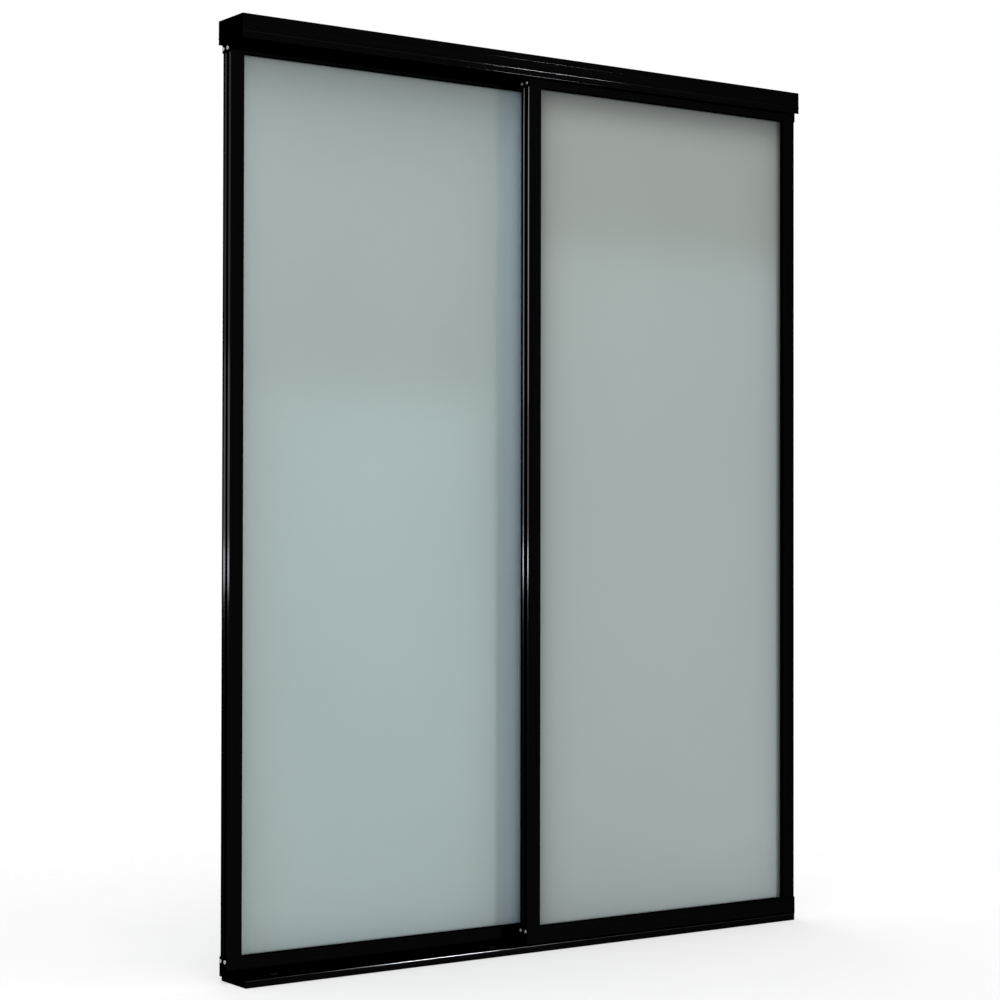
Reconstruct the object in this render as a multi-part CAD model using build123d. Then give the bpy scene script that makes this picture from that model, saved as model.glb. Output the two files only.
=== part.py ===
"""Two-panel sliding closet door: framed frosted glass on a sill track, guided by a header track.

Millimetres. +X is to the right and the viewer stands at -Y. Z is up, from the sill's underside.
The origin is the centre of the sill's underside. The left door runs on the rear track, the right
door on the front track.
"""
from build123d import *
import os

# Tracks
TRACK_LENGTH = 1552.0
OVERALL_HEIGHT = 2032.0
TRACK_WALL = 2.0
FACE_CLEARANCE = 9.0  # between a door's face and the track wall beside it

# Header section
FASCIA_HEIGHT = 51.0
DIVIDER_HEIGHT = 45.0
FINE_BEAD_DROP = 15.0  # from the top of the header to the fine half-round bead
FINE_BEAD_RADIUS = 0.7
FASCIA_BEAD_DROP = 37.0  # from the top of the header to the larger half-round bead
FASCIA_BEAD_RADIUS = 1.6
LOWER_LIP_RADIUS = 1.7

# Sill section
SILL_BASE = 2.5
SILL_LIP_HEIGHT = 15.0  # higher than the underside of a door, so it hides the gap there
SILL_LIP_RADIUS = 1.5  # of the round bead along the top of a lip
SILL_END_STEP = 14.0  # how far the sill stops short of the header at each end
BEAD_HEIGHT = 7.0
BEAD_RADIUS = 2.5

# Screw holes that fix the tracks
FIXING_SPACING = 1200.0
FIXING_RADIUS = 2.5
SILL_FIXING_OFFSET = 13.0

# Door panels
PANEL_OVERLAP = 70.0
PANEL_THICKNESS = 32.0
END_CLEARANCE = 0.6  # from a closed door's end screws to the end of the header
BEAD_CLEARANCE = 5.5  # from the rail beads up to the underside of a door
TOP_CLEARANCE = 26.5  # from the top of a door up to the header's web
STILE_FACE = 36.0
RAIL_FACE = 42.0
FRAME_WALL = 2.0
FRAME_CORNER_RADIUS = 1.0
RIDGE_RISE = 3.0  # two rounded ridges run along each stile's outer side
FLUTE_WIDTH = 5.0  # between the two ridges
FLUTE_DEPTH = 6.0

# Glass and gaskets
GLASS_THICKNESS = 5.0
GLASS_BITE = 9.0
GROOVE_DEPTH = 12.0
GASKET_THICKNESS = 2.0
GASKET_DEPTH = 8.0
GASKET_PROUD = 1.0

# Rail ends
CAP_THICKNESS = 2.0
SCREW_SPACING = 19.0
SCREW_INSET = 9.0  # from the rail's glass edge
SCREW_HEAD_RADIUS = 4.0
SCREW_HEAD_HEIGHT = 2.4
SCREW_HEAD_ROUND = 1.2
SCREW_SHANK_RADIUS = 1.9
SCREW_LENGTH = 16.0
SCREW_CLEARANCE = 0.1
SCREW_PORT_WALL = 1.4
CROSS_LENGTH = 4.4
CROSS_WIDTH = 1.0
CROSS_DEPTH = 1.2

# Rollers
ROLLER_INSET = 120.0  # from a door's side to the roller's axle
ROLLER_RADIUS = 15.0
ROLLER_WIDTH = 10.0
ROLLER_FLANGE = 2.2  # how far the rims reach down beside the bead
RUNNING_GAP = 0.3
AXLE_RADIUS = 3.0
AXLE_HEAD_RADIUS = 4.5
AXLE_HEAD_HEIGHT = 1.5
AXLE_CLEARANCE = 0.05
BRACKET_LENGTH = 40.0
BRACKET_SHEET = 2.0
BRACKET_SIDE_GAP = 0.5
CHEEK_LENGTH = 22.0
CHEEK_BELOW_AXLE = 6.0

# Top guides
GUIDE_INSET = 90.0
GUIDE_LENGTH = 60.0
GUIDE_FOOT_WIDTH = 24.0
GUIDE_FOOT_HEIGHT = 8.0
GUIDE_HEAD_HEIGHT = 10.0
GUIDE_CORNER_RADIUS = 8.0
GUIDE_GAP = 0.4

# Worked out from the sizes above
CHANNEL_WIDTH = PANEL_THICKNESS + 2 * FACE_CLEARANCE
TRACK_PITCH = CHANNEL_WIDTH + TRACK_WALL
TRACK_DEPTH = 2 * CHANNEL_WIDTH + 3 * TRACK_WALL
DOOR_BOTTOM = BEAD_HEIGHT + BEAD_CLEARANCE
DOOR_TOP = OVERALL_HEIGHT - TRACK_WALL - TOP_CLEARANCE
GLASS_EDGE_LOW = DOOR_BOTTOM + RAIL_FACE
GLASS_EDGE_HIGH = DOOR_TOP - RAIL_FACE
STILE_LENGTH = GLASS_EDGE_HIGH - GLASS_EDGE_LOW
CLOSED_SPAN = TRACK_LENGTH - 2 * (SCREW_HEAD_HEIGHT + END_CLEARANCE)
PANEL_WIDTH = (CLOSED_SPAN + PANEL_OVERLAP) / 2
RAIL_LENGTH = PANEL_WIDTH - 2 * CAP_THICKNESS
GLASS_GAP = PANEL_WIDTH - 2 * STILE_FACE
GROOVE_WIDTH = GLASS_THICKNESS + 2 * GASKET_THICKNESS
RIDGE_WIDTH = (PANEL_THICKNESS - FLUTE_WIDTH) / 2
RIDGE_RADIUS = RIDGE_WIDTH**2 / (8 * RIDGE_RISE) + RIDGE_RISE / 2
GASKET_WIDTH = GASKET_DEPTH + GASKET_PROUD
WEB_UNDERSIDE = GLASS_EDGE_LOW - GROOVE_DEPTH - FRAME_WALL
AXLE_HEIGHT = BEAD_HEIGHT - ROLLER_FLANGE + ROLLER_RADIUS
CHEEK_INNER = ROLLER_WIDTH / 2 + BRACKET_SIDE_GAP
CHEEK_OUTER = CHEEK_INNER + BRACKET_SHEET


def along_x(section, length, start):
    """Extrude a section drawn in Y and Z along +X, from X = start."""
    return Pos(start, 0, 0) * extrude(Plane.YZ * section, amount=length)


def bar(y, z_low, width, height):
    """A rectangle of a track's section, centred on y and standing on z_low."""
    return Pos(y, z_low + height / 2) * Rectangle(width, height)


def upright_holes(offset_y, z_low, height):
    """Four screw holes at the corners of a rectangle."""
    drill = Cylinder(FIXING_RADIUS, height, align=(Align.CENTER, Align.CENTER, Align.MIN))
    return [
        Pos(side_x * FIXING_SPACING / 2, side_y * offset_y, z_low) * drill
        for side_x in (-1, 1)
        for side_y in (-1, 1)
    ]


def header_track():
    """E-shaped extrusion: web, front fascia, middle divider and rear wall. Both faces are beaded."""
    web_low = OVERALL_HEIGHT - TRACK_WALL
    lip_height = OVERALL_HEIGHT - FASCIA_HEIGHT + LOWER_LIP_RADIUS
    wall_y = (TRACK_DEPTH - TRACK_WALL) / 2
    section = bar(0, web_low, TRACK_DEPTH, TRACK_WALL)
    section += bar(0, OVERALL_HEIGHT - DIVIDER_HEIGHT, TRACK_WALL, DIVIDER_HEIGHT)
    for side in (-1, 1):
        face_y = side * TRACK_DEPTH / 2
        section += bar(side * wall_y, lip_height, TRACK_WALL, OVERALL_HEIGHT - lip_height)
        section += Pos(side * wall_y, lip_height) * Circle(LOWER_LIP_RADIUS)
        section += Pos(face_y, OVERALL_HEIGHT - FINE_BEAD_DROP) * Circle(FINE_BEAD_RADIUS)
        section += Pos(face_y, OVERALL_HEIGHT - FASCIA_BEAD_DROP) * Circle(FASCIA_BEAD_RADIUS)
    track = along_x(section, TRACK_LENGTH, -TRACK_LENGTH / 2)
    for hole in upright_holes(TRACK_PITCH / 2, web_low, TRACK_WALL):
        track -= hole
    return track


def sill_track():
    """Thin base with a beaded lip along each side and two round-topped beads for the rollers."""
    section = bar(0, 0, TRACK_DEPTH, SILL_BASE)
    lip_height = SILL_LIP_HEIGHT - SILL_LIP_RADIUS
    for side in (-1, 1):
        lip_y = side * (TRACK_DEPTH - TRACK_WALL) / 2
        section += bar(lip_y, 0, TRACK_WALL, lip_height)
        section += Pos(lip_y, lip_height) * Circle(SILL_LIP_RADIUS)
        bead_y = side * TRACK_PITCH / 2
        section += bar(bead_y, 0, 2 * BEAD_RADIUS, BEAD_HEIGHT - BEAD_RADIUS)
        section += Pos(bead_y, BEAD_HEIGHT - BEAD_RADIUS) * Circle(BEAD_RADIUS)
    sill_length = TRACK_LENGTH - 2 * SILL_END_STEP
    track = along_x(section, sill_length, -sill_length / 2)
    for hole in upright_holes(SILL_FIXING_OFFSET, 0, SILL_BASE):
        track -= hole
    return track


def from_outer_edge(start, end, width):
    """A rectangle of a frame section: start and end are measured from the member's outer edge."""
    return Pos((start + end) / 2, 0) * Rectangle(end - start, width)


def rounded(outline, edge):
    """Round the corners of an outline at its lowest (0) or highest (-1) X."""
    return fillet(outline.vertices().group_by(Axis.X)[edge], FRAME_CORNER_RADIUS)


def glazing_groove(face):
    """Slot for the glass and its gaskets, in the glass edge of a frame member."""
    return from_outer_edge(face - GROOVE_DEPTH, face, GROOVE_WIDTH)


def frame_chamber(face, start):
    """Hollow of a frame member, from start to a wall short of the glass edge."""
    groove_start = face - GROOVE_DEPTH - FRAME_WALL
    chamber = from_outer_edge(start, face - FRAME_WALL, PANEL_THICKNESS - 2 * FRAME_WALL)
    return chamber - from_outer_edge(groove_start, face, GROOVE_WIDTH + 2 * FRAME_WALL)


def stile_section():
    """Hollow stile. Two rounded ridges with a flute between them run along its outer side."""
    outline = rounded(from_outer_edge(RIDGE_RISE, STILE_FACE, PANEL_THICKNESS), -1)
    for side in (-1, 1):
        ridge = Pos(RIDGE_RADIUS, side * (FLUTE_WIDTH + RIDGE_WIDTH) / 2) * Circle(RIDGE_RADIUS)
        outline += ridge & from_outer_edge(0, RIDGE_RISE, PANEL_THICKNESS)
    outline -= from_outer_edge(0, FLUTE_DEPTH, FLUTE_WIDTH)
    chamber = frame_chamber(STILE_FACE, RIDGE_RISE + FRAME_WALL)
    chamber -= from_outer_edge(0, FLUTE_DEPTH + FRAME_WALL, FLUTE_WIDTH + 2 * FRAME_WALL)
    return outline - glazing_groove(STILE_FACE) - chamber


def rail_section(chamber_start):
    """Hollow rail with two screw ports. A chamber that starts at 0 leaves it open underneath."""
    section = rounded(rounded(from_outer_edge(0, RAIL_FACE, PANEL_THICKNESS), 0), -1)
    section -= glazing_groove(RAIL_FACE) + frame_chamber(RAIL_FACE, chamber_start)
    port_radius = SCREW_SHANK_RADIUS + SCREW_CLEARANCE
    for side in (-1, 1):
        place = Pos(RAIL_FACE - SCREW_INSET, side * SCREW_SPACING / 2)
        section += place * Circle(port_radius + SCREW_PORT_WALL)
        section -= place * Circle(port_radius)
    return section


def frame_member(section, length, origin, outer_to_glass, along):
    """Extrude a frame section, turned so that its outer edge faces away from the glass."""
    placing = Plane(origin=origin, x_dir=outer_to_glass, z_dir=along)
    return placing.location * extrude(section, amount=length)


def screw():
    """Pan-head screw with a cross recess: the seat is at Z = 0 and the head points to +Z."""
    upright = (Align.CENTER, Align.CENTER, Align.MIN)
    head = Cylinder(SCREW_HEAD_RADIUS, SCREW_HEAD_HEIGHT, align=upright)
    head = fillet(head.edges().group_by(Axis.Z)[-1], SCREW_HEAD_ROUND)
    for length, width in ((CROSS_LENGTH, CROSS_WIDTH), (CROSS_WIDTH, CROSS_LENGTH)):
        cut = Box(length, width, CROSS_DEPTH, align=upright)
        head -= Pos(0, 0, SCREW_HEAD_HEIGHT - CROSS_DEPTH) * cut
    shank = Cylinder(SCREW_SHANK_RADIUS, SCREW_LENGTH, align=(Align.CENTER, Align.CENTER, Align.MAX))
    return head + shank


def end_cap():
    """Plate that closes a rail's end, drawn as the rail's section is, thickness along +Z."""
    plate = rounded(rounded(from_outer_edge(0, RAIL_FACE, PANEL_THICKNESS), 0), -1)
    for side in (-1, 1):
        place = Pos(RAIL_FACE - SCREW_INSET, side * SCREW_SPACING / 2)
        plate -= place * Circle(SCREW_SHANK_RADIUS + SCREW_CLEARANCE)
    return extrude(plate, amount=CAP_THICKNESS)


def cross_cylinder(radius, length):
    """Cylinder along Y, centred on the origin."""
    return Rot(90, 0, 0) * Cylinder(radius, length)


def roller():
    """Grooved wheel on a Y axis. Its groove follows the bead with a running gap."""
    wheel = cross_cylinder(ROLLER_RADIUS, ROLLER_WIDTH)
    bead_centre_drop = AXLE_HEIGHT - (BEAD_HEIGHT - BEAD_RADIUS)
    wheel -= Rot(90, 0, 0) * Torus(bead_centre_drop, BEAD_RADIUS + RUNNING_GAP)
    return wheel - cross_cylinder(AXLE_RADIUS + AXLE_CLEARANCE, ROLLER_WIDTH)


def axle():
    """Headed pin through the bracket's cheeks."""
    pin = cross_cylinder(AXLE_RADIUS, 2 * CHEEK_OUTER)
    for side in (-1, 1):
        head_y = side * (CHEEK_OUTER + AXLE_HEAD_HEIGHT / 2)
        pin += Pos(0, head_y, 0) * cross_cylinder(AXLE_HEAD_RADIUS, AXLE_HEAD_HEIGHT)
    return pin


def roller_bracket():
    """Sheet bracket: a top plate under the rail's web and two cheeks. The axle is at the origin."""
    top = WEB_UNDERSIDE - AXLE_HEIGHT
    hanging = (Align.CENTER, Align.CENTER, Align.MAX)
    bracket = Pos(0, 0, top) * Box(BRACKET_LENGTH, 2 * CHEEK_OUTER, BRACKET_SHEET, align=hanging)
    cheek = Box(CHEEK_LENGTH, BRACKET_SHEET, top + CHEEK_BELOW_AXLE, align=hanging)
    for side in (-1, 1):
        bracket += Pos(0, side * (CHEEK_INNER + CHEEK_OUTER) / 2, top) * cheek
    return bracket - cross_cylinder(AXLE_RADIUS + AXLE_CLEARANCE, 2 * CHEEK_OUTER)


def top_guide():
    """Guide with a foot on the top rail and a wide head that fits the header's channel."""
    upright = (Align.CENTER, Align.CENTER, Align.MIN)
    head_outline = RectangleRounded(GUIDE_LENGTH, CHANNEL_WIDTH - 2 * GUIDE_GAP, GUIDE_CORNER_RADIUS)
    foot = Box(GUIDE_LENGTH, GUIDE_FOOT_WIDTH, GUIDE_FOOT_HEIGHT, align=upright)
    return foot + Pos(0, 0, GUIDE_FOOT_HEIGHT) * extrude(head_outline, amount=GUIDE_HEAD_HEIGHT)


def gasket_strips(length, size_x, size_z, centres, panel_y):
    """Pairs of strips, one on each face of the glass, at the given X and Z centres."""
    strip_y = (GLASS_THICKNESS + GASKET_THICKNESS) / 2
    strip = Box(size_x or length, GASKET_THICKNESS, size_z or length)
    return [
        Pos(x, panel_y + side * strip_y, z) * strip for x, z in centres for side in (-1, 1)
    ]


def door(left, panel_y):
    """All the pieces of one door, by name. left is the X of its left side."""
    right = left + PANEL_WIDTH
    middle_x = (left + right) / 2
    middle_z = (GLASS_EDGE_LOW + GLASS_EDGE_HIGH) / 2
    to_right, to_left, upward, downward = (1, 0, 0), (-1, 0, 0), (0, 0, 1), (0, 0, -1)
    rails = {"bottom": (DOOR_BOTTOM, upward), "top": (DOOR_TOP, downward)}
    ends = {"left": (left, to_right), "right": (right, to_left)}
    pieces = {}

    for side, (edge, inward) in ends.items():
        seat = (edge, panel_y, GLASS_EDGE_LOW)
        pieces[f"{side}_stile"] = [frame_member(stile_section(), STILE_LENGTH, seat, inward, upward)]

    rail_x = left + CAP_THICKNESS
    for level, (height, inward) in rails.items():
        section = rail_section(0 if level == "bottom" else FRAME_WALL)
        rail = frame_member(section, RAIL_LENGTH, (rail_x, panel_y, height), inward, to_right)
        pieces[f"{level}_rail"] = [rail]

    glass_width = GLASS_GAP + 2 * GLASS_BITE
    glass_height = STILE_LENGTH + 2 * GLASS_BITE
    pieces["glass"] = [Pos(middle_x, panel_y, middle_z) * Box(glass_width, GLASS_THICKNESS, glass_height)]

    proud = GASKET_WIDTH / 2 - GASKET_PROUD
    side_x = GLASS_GAP / 2 + proud
    end_z = STILE_LENGTH / 2 + proud
    side_centres = [(middle_x + s * side_x, middle_z) for s in (-1, 1)]
    end_centres = [(middle_x, middle_z + s * end_z) for s in (-1, 1)]
    inside_length = GLASS_GAP - 2 * GASKET_PROUD
    pieces["side_gaskets"] = gasket_strips(STILE_LENGTH, GASKET_WIDTH, None, side_centres, panel_y)
    pieces["end_gaskets"] = gasket_strips(inside_length, None, GASKET_WIDTH, end_centres, panel_y)

    pieces["end_caps"] = []
    pieces["cap_screws"] = []
    for edge, inward_x in ends.values():
        for height, inward_z in rails.values():
            cap_plane = Plane(origin=(edge, panel_y, height), x_dir=inward_z, z_dir=inward_x)
            pieces["end_caps"].append(cap_plane.location * end_cap())
            screw_z = height + inward_z[2] * (RAIL_FACE - SCREW_INSET)
            outward = (-inward_x[0], 0, 0)
            for side in (-1, 1):
                seat = (edge, panel_y + side * SCREW_SPACING / 2, screw_z)
                screw_plane = Plane(origin=seat, x_dir=upward, z_dir=outward)
                pieces["cap_screws"].append(screw_plane.location * screw())

    axles_at = [Pos(x, panel_y, AXLE_HEIGHT) for x in (left + ROLLER_INSET, right - ROLLER_INSET)]
    pieces["rollers"] = [place * roller() for place in axles_at]
    pieces["roller_axles"] = [place * axle() for place in axles_at]
    pieces["roller_brackets"] = [place * roller_bracket() for place in axles_at]
    pieces["top_guides"] = [
        Pos(x, panel_y, DOOR_TOP) * top_guide() for x in (left + GUIDE_INSET, right - GUIDE_INSET)
    ]
    return pieces


nodes = {"header_track": [header_track()], "sill_track": [sill_track()]}
door_places = {
    "left_door": (-CLOSED_SPAN / 2, TRACK_PITCH / 2),
    "right_door": (CLOSED_SPAN / 2 - PANEL_WIDTH, -TRACK_PITCH / 2),
}
for door_name, (left_side, centre_y) in door_places.items():
    for piece_name, solids in door(left_side, centre_y).items():
        nodes[f"{door_name}_{piece_name}"] = solids

os.makedirs("parts", exist_ok=True)
for node_name, solids in nodes.items():
    shape = solids[0] if len(solids) == 1 else Compound(children=solids)
    export_step(shape, f"parts/{node_name}.step")
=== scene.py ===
"""Looks of the two-panel sliding closet door: finishes, studio light and camera, in metres."""

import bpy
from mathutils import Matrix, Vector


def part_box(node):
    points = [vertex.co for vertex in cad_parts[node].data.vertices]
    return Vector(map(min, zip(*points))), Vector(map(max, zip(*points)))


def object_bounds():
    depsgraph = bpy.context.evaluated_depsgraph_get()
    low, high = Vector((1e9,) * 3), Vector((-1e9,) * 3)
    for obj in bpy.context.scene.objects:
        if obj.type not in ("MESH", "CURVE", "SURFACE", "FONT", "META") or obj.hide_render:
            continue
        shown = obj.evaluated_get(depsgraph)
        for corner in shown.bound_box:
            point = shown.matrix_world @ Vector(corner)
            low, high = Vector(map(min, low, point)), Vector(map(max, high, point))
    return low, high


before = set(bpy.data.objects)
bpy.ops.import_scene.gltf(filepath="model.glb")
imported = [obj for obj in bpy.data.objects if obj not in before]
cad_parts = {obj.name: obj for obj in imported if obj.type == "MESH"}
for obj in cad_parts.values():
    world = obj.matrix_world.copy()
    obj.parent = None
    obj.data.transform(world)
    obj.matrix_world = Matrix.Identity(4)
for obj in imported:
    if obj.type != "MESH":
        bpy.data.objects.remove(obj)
cad_box = [list(corner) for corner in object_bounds()]

import math

import bpy
from mathutils import Matrix, Vector

# Camera, fitted to the photo's edges, with its angles in degrees
CAMERA_PLACE = (-3.1086, -4.3331, 0.9522)
CAMERA_YAW = 34.925  # from +Y towards +X
CAMERA_PITCH = 0.756
CAMERA_ROLL = 0.097
CAMERA_LEVEL = 90.0  # an unturned camera looks straight down
CAMERA_LENS = 83.886
CAMERA_SENSOR = 36.0

# World: white where it is seen, softer as a light
WORLD_COLOUR = (1.0, 1.0, 1.0)
WORLD_SEEN = 1.0
WORLD_AMBIENT = 0.88

# Floor
FLOOR_RADIUS = 6.0
FLOOR_SIDES = 96
FLOOR_DROP = 0.0005  # below the object's underside
FLOOR_SOLID = 0.6  # its opacity at the middle; it fades to nothing towards its rim
FLOOR_FADE_START = 1.0
FLOOR_FADE_END = 2.4
FLOOR_PALE = (0.93, 0.93, 0.93)
FLOOR_SHADE = (0.91, 0.91, 0.91)
FLOOR_CLOUDS = (3.0, 3.0, 3.0)
FLOOR_ROUGHNESS = 0.9
FLOOR_GLOSS = 0.1

# Lamps: place, aim, width, height, radiance and colour
NEUTRAL = (1.0, 1.0, 1.0)
COOL = (0.72, 1.0, 1.12)
SOFTBOXES = {
    "key": ((-1.6, -4.2, 2.8), (0.0, 0.0, 1.0), 2.8, 2.2, 2.2, NEUTRAL),
    "top": ((0.0, -1.0, 4.6), (0.0, -0.6, 0.0), 3.5, 3.5, 0.85, NEUTRAL),
    "back": ((1.5, 4.4, 3.2), (0.0, 0.0, 1.0), 2.6, 2.2, 2.2, NEUTRAL),
}

# Glints: as lamps, with the nodes whose gloss shows them, by the ends of their names
PANES = ("glass",)
REAR_EDGE = ("left_door_left_stile",)
FRONT_EDGE = ("right_door_left_stile",)
FAR_EDGES = ("right_stile",)
HEADER = ("header_track",)
SILL = ("sill_track",)
GLINTS = {
    "pane_low": ((2.29, -4.3, -0.32), (2.29, 0.0, -0.32), 1.18, 3.75, 2.6, COOL, PANES),
    "pane_high": ((3.95, -4.3, 0.03), (3.95, 0.0, 0.03), 1.7, 4.46, 2.6, COOL, PANES),
    "front_high": ((-3.1, -0.35, 2.05), (0.0, -0.35, 2.05), 2.2, 1.3, 80.0, NEUTRAL, FRONT_EDGE),
    "front_low": ((-3.1, -0.35, 1.15), (0.0, -0.35, 1.15), 2.2, 0.46, 40.0, NEUTRAL, FRONT_EDGE),
    "front_spark": ((-3.1, -0.35, 0.835), (0.0, -0.35, 0.835), 2.2, 0.12, 330.0, NEUTRAL, FRONT_EDGE),
    "rear_high": ((-3.1, -0.35, 2.1), (0.0, -0.35, 2.1), 2.2, 1.2, 12.0, NEUTRAL, REAR_EDGE),
    "rear_low": ((-3.1, -0.35, 1.2), (0.0, -0.35, 1.2), 2.2, 0.6, 32.0, NEUTRAL, REAR_EDGE),
    "rear_spark": ((-3.1, -0.35, 0.835), (0.0, -0.35, 0.835), 2.2, 0.12, 150.0, NEUTRAL, REAR_EDGE),
    "far_side": ((3.2, 0.6, 1.4), (0.0, 0.0, 1.2), 1.8, 2.2, 30.0, NEUTRAL, FAR_EDGES),
    "header": ((1.36, -1.18, 3.5), (1.36, -1.18, 0.0), 0.36, 0.5, 900.0, NEUTRAL, HEADER),
    "sill": ((1.42, -0.45, 2.6), (1.42, -0.45, 0.0), 0.40, 0.75, 560.0, NEUTRAL, SILL),
}

# Noise: how many layers of detail, how rough they are, and the part of the range from 0 to 1 in use
CLOUD_DETAIL = 2.0
SOFT_DETAIL = 3.0
FINE_DETAIL = 4.0
GRAIN_DETAIL = 5.0
EVEN_MIX = 0.5
GRAIN_MIX = 0.6
NOISE_LOW = 0.3
NOISE_HIGH = 0.7

# Black extrusions: the rims say how far the black turns to a mirror at a flat angle
BLACK_DEEP = (0.0016, 0.0016, 0.0017)
BLACK_LIGHT = (0.0028, 0.0028, 0.0030)
BLACK_RIM = (0.05, 0.05, 0.05)
HEADER_RIM = (0.2, 0.2, 0.2)
SILL_RIM = (0.03, 0.03, 0.03)
STREAK_ACROSS = 420.0  # extrusion lines per metre
STREAK_ALONG = 1.5
STREAK_ROUGHNESS = (0.06, 0.10)
STREAK_BUMP = 0.12
STREAK_RELIEF = 0.00008
SMUDGES = (7.0, 7.0, 7.0)
SMUDGE_ROUGHNESS = (0.0, 0.03)

# Rubbed crests of the header's beads and the sill's lips
RUBBED = (0.006, 0.006, 0.0063)
BURNISHED = (0.030, 0.030, 0.031)
WEAR_PATCHES = (14.0, 300.0, 300.0)
WEAR_SHARE = (0.6, 1.0)
HEADER_WEAR = (0.0535, 0.0543)  # distances from the middle between which the wear sets in
SILL_WEAR = (0.0135, 0.0146)  # heights between which the wear sets in
SILL_DULLING = 0.05  # how much rougher the sill's rubbed crests are

# Frosted glass
# The two doors get lit and shaded copies of one glass colour: the right door's darker, warmer copy is
# painted shade
GLASS_TINTS_AND_SHADE = {
    "left_door": ((0.346, 0.412, 0.404), (0.364, 0.433, 0.424)),
    "right_door": ((0.320, 0.356, 0.330), (0.334, 0.372, 0.345)),
}
GLASS_BITE = 0.009  # how deep the sheet sits in the frame
GLASS_CLOUDS = (2.2, 2.2, 1.4)
GLASS_GLOSS = {
    "Transmission Weight": 0.5,
    "Specular IOR Level": 0.2,
    "Coat Weight": 1.0,
    "Coat Roughness": 0.12,
    "Coat IOR": 1.4,
}
FROST = (900.0, 900.0, 900.0)
FROST_ROUGHNESS = (0.52, 0.68)
FROST_BUMP = 0.15
FROST_RELIEF = 0.00003

# Painted shade along the sheets' edges, and painted cool light along the left door's right edge:
# strength, reach, steepness and tone
EDGE_PAINTED_SHADE = (0.006, 0.006, 0.006)
PAINTED_COOL_LIGHT = (0.40, 0.53, 0.60)
PAINTED_WARM_SHADE = (0.020, 0.006, 0.004)
PAINTED_EDGE_SHADING = {
    "left_door": {
        "left": (0.16, 0.022, 1.0, EDGE_PAINTED_SHADE), "right": (0.8, 0.055, 2.0, PAINTED_COOL_LIGHT),
        "bottom": (0.27, 0.030, 1.0, EDGE_PAINTED_SHADE), "top": (0.46, 0.080, 1.0, EDGE_PAINTED_SHADE),
    },
    "right_door": {
        "left": (0.66, 0.030, 1.0, PAINTED_WARM_SHADE), "right": (0.46, 0.034, 1.0, PAINTED_WARM_SHADE),
        "bottom": (0.275, 0.075, 1.0, EDGE_PAINTED_SHADE), "top": (0.62, 0.050, 2.0, EDGE_PAINTED_SHADE),
    },
}

# Grained finishes: two colours, grains per metre, roughness, relief and gloss
GRAIN_BUMP = 0.3
GRAINS_PER_CLOUD = 12
GRAINED = {
    "gasket_rubber": {
        "deep": (0.006, 0.006, 0.006), "light": (0.011, 0.011, 0.011), "scale": 500.0,
        "roughness": (0.7, 0.9), "relief": 0.00005, "gloss": {"Specular IOR Level": 0.05},
    },
    "cap_moulding": {
        "deep": (0.0014, 0.0014, 0.0015), "light": (0.0026, 0.0026, 0.0027), "scale": 900.0,
        "roughness": (0.3, 0.4), "relief": 0.00005,
        "gloss": {"Metallic": 1.0, "Specular Tint": BLACK_RIM},
    },
    "zinc_plate": {
        "deep": (0.42, 0.42, 0.47), "light": (0.56, 0.56, 0.61), "scale": 1500.0,
        "roughness": (0.34, 0.46), "relief": 0.00001, "gloss": {"Metallic": 1.0},
    },
    "bracket_zinc": {
        "deep": (0.42, 0.43, 0.45), "light": (0.58, 0.59, 0.61), "scale": 420.0,
        "roughness": (0.3, 0.45), "relief": 0.00001, "gloss": {"Metallic": 1.0},
    },
    "black_nylon": {
        "deep": (0.010, 0.010, 0.010), "light": (0.018, 0.018, 0.018), "scale": 700.0,
        "roughness": (0.4, 0.55), "relief": 0.00005, "gloss": {"Specular IOR Level": 0.2},
    },
}

# The finish of each of a door's pieces, apart from its glass
FINISHES = {
    "left_stile": "stile_black", "right_stile": "stile_black",
    "top_rail": "rail_black", "bottom_rail": "rail_black",
    "side_gaskets": "gasket_rubber", "end_gaskets": "gasket_rubber",
    "end_caps": "cap_moulding", "cap_screws": "zinc_plate",
    "rollers": "black_nylon", "top_guides": "black_nylon",
    "roller_axles": "bracket_zinc", "roller_brackets": "bracket_zinc",
}


def new_material(name):
    """A material with its node tree and its Principled shader."""
    material = bpy.data.materials.new(name)
    material.use_nodes = True
    return material, material.node_tree, material.node_tree.nodes["Principled BSDF"]


def plug(tree, value, socket):
    """Set a constant on a socket, or link another node's output to it."""
    if isinstance(value, bpy.types.NodeSocket):
        tree.links.new(value, socket)
    elif socket.type == "RGBA":
        socket.default_value = (*value, 1.0)
    else:
        socket.default_value = value


def place(tree):
    """The point's place in the piece's own frame."""
    return tree.nodes.new("ShaderNodeTexCoord").outputs["Object"]


def along(tree, axis):
    """The point's X, Y or Z in the piece's own frame."""
    split = tree.nodes.new("ShaderNodeSeparateXYZ")
    tree.links.new(place(tree), split.inputs["Vector"])
    return split.outputs[axis]


def noise(tree, stretch, detail, mix=EVEN_MIX):
    """Noise from 0 to 1 with so many lumps per metre along X, Y and Z."""
    mapping = tree.nodes.new("ShaderNodeMapping")
    mapping.inputs["Scale"].default_value = stretch
    tree.links.new(place(tree), mapping.inputs["Vector"])
    texture = tree.nodes.new("ShaderNodeTexNoise")
    texture.inputs["Scale"].default_value = 1.0
    texture.inputs["Detail"].default_value = detail
    texture.inputs["Roughness"].default_value = mix
    tree.links.new(mapping.outputs["Vector"], texture.inputs["Vector"])
    return texture.outputs["Fac"]


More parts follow.
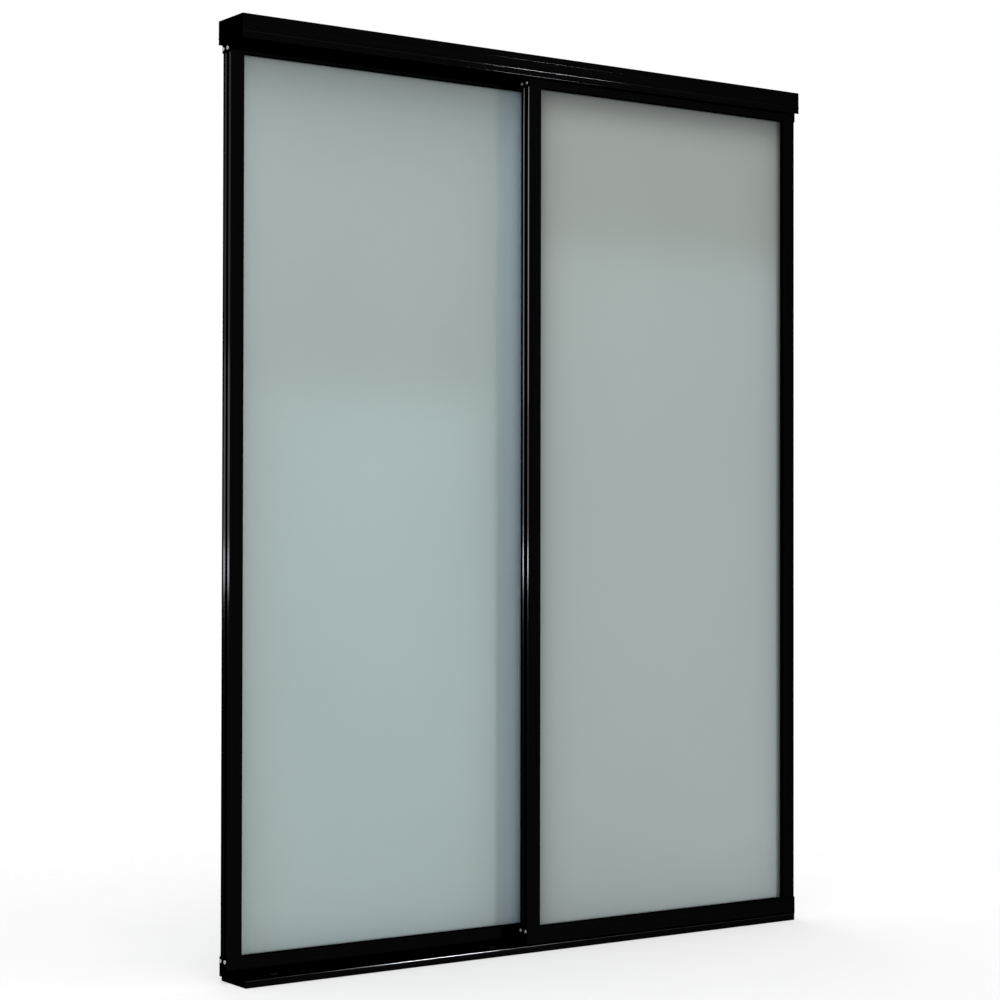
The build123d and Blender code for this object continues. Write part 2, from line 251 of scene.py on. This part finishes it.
def spread(tree, value, low, high, start=NOISE_LOW, end=NOISE_HIGH):
    """Map a value from start..end to low..high, held at both ends."""
    node = tree.nodes.new("ShaderNodeMapRange")
    node.inputs["From Min"].default_value = start
    node.inputs["From Max"].default_value = end
    node.inputs["To Min"].default_value = low
    node.inputs["To Max"].default_value = high
    tree.links.new(value, node.inputs["Value"])
    return node.outputs["Result"]


def math_node(tree, operation, first, second=0.0):
    """One arithmetic step."""
    node = tree.nodes.new("ShaderNodeMath")
    node.operation = operation
    plug(tree, first, node.inputs[0])
    plug(tree, second, node.inputs[1])
    return node.outputs[0]


def blend(tree, factor, first, second):
    """Mix two colours."""
    node = tree.nodes.new("ShaderNodeMix")
    node.data_type = "RGBA"
    plug(tree, factor, node.inputs["Factor"])
    colour_inputs = [socket for socket in node.inputs if socket.type == "RGBA"]
    plug(tree, first, colour_inputs[0])
    plug(tree, second, colour_inputs[1])
    return next(socket for socket in node.outputs if socket.type == "RGBA")


def mottle(tree, pattern, deep, light):
    """A colour that goes from deep to light with a noise pattern."""
    return blend(tree, spread(tree, pattern, 0.0, 1.0), deep, light)


def bump(tree, shader, height, strength, distance):
    """Raise the surface by a height pattern."""
    node = tree.nodes.new("ShaderNodeBump")
    node.inputs["Strength"].default_value = strength
    node.inputs["Distance"].default_value = distance
    tree.links.new(height, node.inputs["Height"])
    tree.links.new(node.outputs["Normal"], shader.inputs["Normal"])


def extruded_black(name, stretch, rim):
    """Glossy black anodised aluminium with fine lines along the extrusion."""
    material, tree, shader = new_material(name)
    streaks = noise(tree, stretch, FINE_DETAIL)
    smudges = noise(tree, SMUDGES, SOFT_DETAIL)
    lined = spread(tree, streaks, *STREAK_ROUGHNESS)
    smudged = spread(tree, smudges, *SMUDGE_ROUGHNESS)
    plug(tree, mottle(tree, streaks, BLACK_DEEP, BLACK_LIGHT), shader.inputs["Base Color"])
    plug(tree, math_node(tree, "ADD", lined, smudged), shader.inputs["Roughness"])
    plug(tree, 1.0, shader.inputs["Metallic"])
    plug(tree, rim, shader.inputs["Specular Tint"])
    bump(tree, shader, streaks, STREAK_BUMP, STREAK_RELIEF)
    return material


def worn_black(name, stretch, rim, axis, start, end, bare, dulling=0.0):
    """Black extrusion whose crests, from start to end along an axis, are rubbed towards bare metal."""
    material = extruded_black(name, stretch, rim)
    tree = material.node_tree
    shader = tree.nodes["Principled BSDF"]
    reach = math_node(tree, "ABSOLUTE", along(tree, axis))
    crest = spread(tree, reach, 0.0, 1.0, start, end)
    patches = noise(tree, WEAR_PATCHES, FINE_DETAIL)
    wear = math_node(tree, "MULTIPLY", crest, spread(tree, patches, *WEAR_SHARE))
    colour = shader.inputs["Base Color"].links[0].from_socket
    plug(tree, blend(tree, wear, colour, bare), shader.inputs["Base Color"])
    if dulling:
        roughness = shader.inputs["Roughness"].links[0].from_socket
        rougher = math_node(tree, "MULTIPLY", wear, dulling)
        plug(tree, math_node(tree, "ADD", roughness, rougher), shader.inputs["Roughness"])
    return material


def grained(name, deep, light, scale, roughness, relief, gloss):
    """A material with an even grain: mouldings, rubber, nylon and plated steel."""
    material, tree, shader = new_material(name)
    grain = noise(tree, (scale,) * 3, GRAIN_DETAIL, GRAIN_MIX)
    clouds = noise(tree, (scale / GRAINS_PER_CLOUD,) * 3, CLOUD_DETAIL)
    plug(tree, mottle(tree, clouds, deep, light), shader.inputs["Base Color"])
    plug(tree, spread(tree, grain, *roughness), shader.inputs["Roughness"])
    for socket, value in gloss.items():
        plug(tree, value, shader.inputs[socket])
    bump(tree, shader, grain, GRAIN_BUMP, relief)
    return material


def painted_edge_share(tree, axis, edge, inward, strength, reach, steepness):
    """How much of an edge's painted shade or painted light shows: its strength at the edge, falling
    towards the sheet's middle.
    """
    offset = math_node(tree, "SUBTRACT", along(tree, axis), edge)
    inside = math_node(tree, "MAXIMUM", math_node(tree, "MULTIPLY", offset, inward / reach), 0.0)
    fall = math_node(tree, "MULTIPLY", math_node(tree, "POWER", inside, steepness), -1.0)
    return math_node(tree, "MULTIPLY", math_node(tree, "EXPONENT", fall), strength)


def frosted_glass(name, box, deep, light, painted_edges):
    """Frosted sheet with a smooth front: a pale grey-green body under a clear gloss, with shade and
    light painted in along its edges.
    """
    material, tree, shader = new_material(name)
    clouds = noise(tree, GLASS_CLOUDS, SOFT_DETAIL)
    frost = noise(tree, FROST, FINE_DETAIL)
    colour = mottle(tree, clouds, deep, light)
    low, high = box
    # Blend each edge towards its tone, fading towards the middle: painted shade, or painted cool light
    for side, axis, edge, inward in (
        ("right", "X", high.x - GLASS_BITE, -1),
        ("left", "X", low.x + GLASS_BITE, 1),
        ("bottom", "Z", low.z + GLASS_BITE, 1),
        ("top", "Z", high.z - GLASS_BITE, -1),
    ):
        *shape, tone = painted_edges[side]
        colour = blend(tree, painted_edge_share(tree, axis, edge, inward, *shape), colour, tone)
    plug(tree, colour, shader.inputs["Base Color"])
    plug(tree, spread(tree, frost, *FROST_ROUGHNESS), shader.inputs["Roughness"])
    for socket, value in GLASS_GLOSS.items():
        plug(tree, value, shader.inputs[socket])
    bump(tree, shader, frost, FROST_BUMP, FROST_RELIEF)
    return material


def dress(node, material):
    """Give a node's object a finish."""
    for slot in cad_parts[node].material_slots:
        slot.material = material


def dress_all():
    """Give every node its finish."""
    upright = (STREAK_ACROSS, STREAK_ACROSS, STREAK_ALONG)
    level = (STREAK_ALONG, STREAK_ACROSS, STREAK_ACROSS)
    materials = {name: grained(name, **values) for name, values in GRAINED.items()}
    materials["stile_black"] = extruded_black("stile_black", upright, BLACK_RIM)
    materials["rail_black"] = extruded_black("rail_black", level, BLACK_RIM)
    header = worn_black("header_black", level, HEADER_RIM, "Y", *HEADER_WEAR, RUBBED)
    sill = worn_black("sill_black", level, SILL_RIM, "Z", *SILL_WEAR, BURNISHED, SILL_DULLING)
    dress("header_track", header)
    dress("sill_track", sill)
    # Each door's glass colour, the right door's with painted shade, and the sheets' painted edge shade
    # and light
    for door, tints_and_shade in GLASS_TINTS_AND_SHADE.items():
        for piece, finish in FINISHES.items():
            dress(f"{door}_{piece}", materials[finish])
        pane = f"{door}_glass"
        dress(pane, frosted_glass(f"{door}_frosted_glass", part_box(pane), *tints_and_shade, PAINTED_EDGE_SHADING[door]))


def make_floor():
    """A pale round floor that keeps the shadow and fades into the white background."""
    rim = [
        (FLOOR_RADIUS * math.cos(turn), FLOOR_RADIUS * math.sin(turn), 0.0)
        for turn in (2 * math.pi * step / FLOOR_SIDES for step in range(FLOOR_SIDES))
    ]
    mesh = bpy.data.meshes.new("floor")
    mesh.from_pydata(rim, [], [range(FLOOR_SIDES)])
    floor = bpy.data.objects.new("floor", mesh)
    bpy.context.scene.collection.objects.link(floor)
    floor.location.z = cad_box[0][2] - FLOOR_DROP
    floor.visible_glossy = False
    material, tree, shader = new_material("pale_floor")
    clouds = noise(tree, FLOOR_CLOUDS, SOFT_DETAIL)
    plug(tree, mottle(tree, clouds, FLOOR_SHADE, FLOOR_PALE), shader.inputs["Base Color"])
    plug(tree, FLOOR_ROUGHNESS, shader.inputs["Roughness"])
    plug(tree, FLOOR_GLOSS, shader.inputs["Specular IOR Level"])
    distance = tree.nodes.new("ShaderNodeVectorMath")
    distance.operation = "LENGTH"
    tree.links.new(place(tree), distance.inputs[0])
    solid = spread(tree, distance.outputs["Value"], FLOOR_SOLID, 0.0, FLOOR_FADE_START, FLOOR_FADE_END)
    plug(tree, solid, shader.inputs["Alpha"])
    mesh.materials.append(material)


def make_world():
    """White where the camera, a gloss or the glass sees it, and a softer light on matt surfaces."""
    world = bpy.data.worlds.new("studio")
    bpy.context.scene.world = world
    world.use_nodes = True
    tree = world.node_tree
    path = tree.nodes.new("ShaderNodeLightPath")
    seen = math_node(tree, "MAXIMUM", path.outputs["Is Camera Ray"], path.outputs["Is Glossy Ray"])
    seen = math_node(tree, "MAXIMUM", seen, path.outputs["Is Transmission Ray"])
    background = tree.nodes["Background"]
    plug(tree, WORLD_COLOUR, background.inputs["Color"])
    plug(tree, spread(tree, seen, WORLD_AMBIENT, WORLD_SEEN, 0.0, 1.0), background.inputs["Strength"])


def make_lamp(name, centre, aim, width, height, radiance, colour):
    """A rectangular lamp that faces its aim and that the camera doesn't see."""
    lamp = bpy.data.lights.new(name, "AREA")
    lamp.shape = "RECTANGLE"
    lamp.size = width
    lamp.size_y = height
    lamp.energy = radiance * math.pi * width * height
    lamp.color = colour
    lamp_object = bpy.data.objects.new(name, lamp)
    bpy.context.scene.collection.objects.link(lamp_object)
    lamp_object.location = centre
    facing = Vector(aim) - Vector(centre)
    lamp_object.rotation_euler = facing.to_track_quat("-Z", "Y").to_euler()
    lamp_object.visible_camera = False
    return lamp_object


def make_glint(name, *values):
    """A lamp that shows only as a reflection, and only on some nodes, as behind a studio's flags."""
    *lamp_values, endings = values
    lamp_object = make_lamp(name, *lamp_values)
    lamp_object.visible_transmission = False
    lamp_object.visible_diffuse = False
    reach = bpy.data.collections.new(f"{name}_reach")
    for node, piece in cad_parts.items():
        if node.endswith(endings):
            reach.objects.link(piece)
    lamp_object.light_linking.receiver_collection = reach


def turned(degrees, axis):
    """A turn about one axis."""
    return Matrix.Rotation(math.radians(degrees), 4, axis)


def make_camera():
    """The photo's viewing angle."""
    lens = bpy.data.cameras.new("camera")
    lens.lens = CAMERA_LENS
    lens.sensor_width = CAMERA_SENSOR
    camera = bpy.data.objects.new("camera", lens)
    bpy.context.scene.collection.objects.link(camera)
    tilted = turned(CAMERA_LEVEL + CAMERA_PITCH, "X") @ turned(CAMERA_ROLL, "Z")
    camera.matrix_world = Matrix.Translation(CAMERA_PLACE) @ turned(-CAMERA_YAW, "Z") @ tilted
    bpy.context.scene.camera = camera


bpy.context.scene.view_settings.view_transform = "Standard"
dress_all()
make_floor()
make_world()
for lamp_name, lamp_values in SOFTBOXES.items():
    make_lamp(lamp_name, *lamp_values)
for lamp_name, lamp_values in GLINTS.items():
    make_glint(lamp_name, *lamp_values)
make_camera()
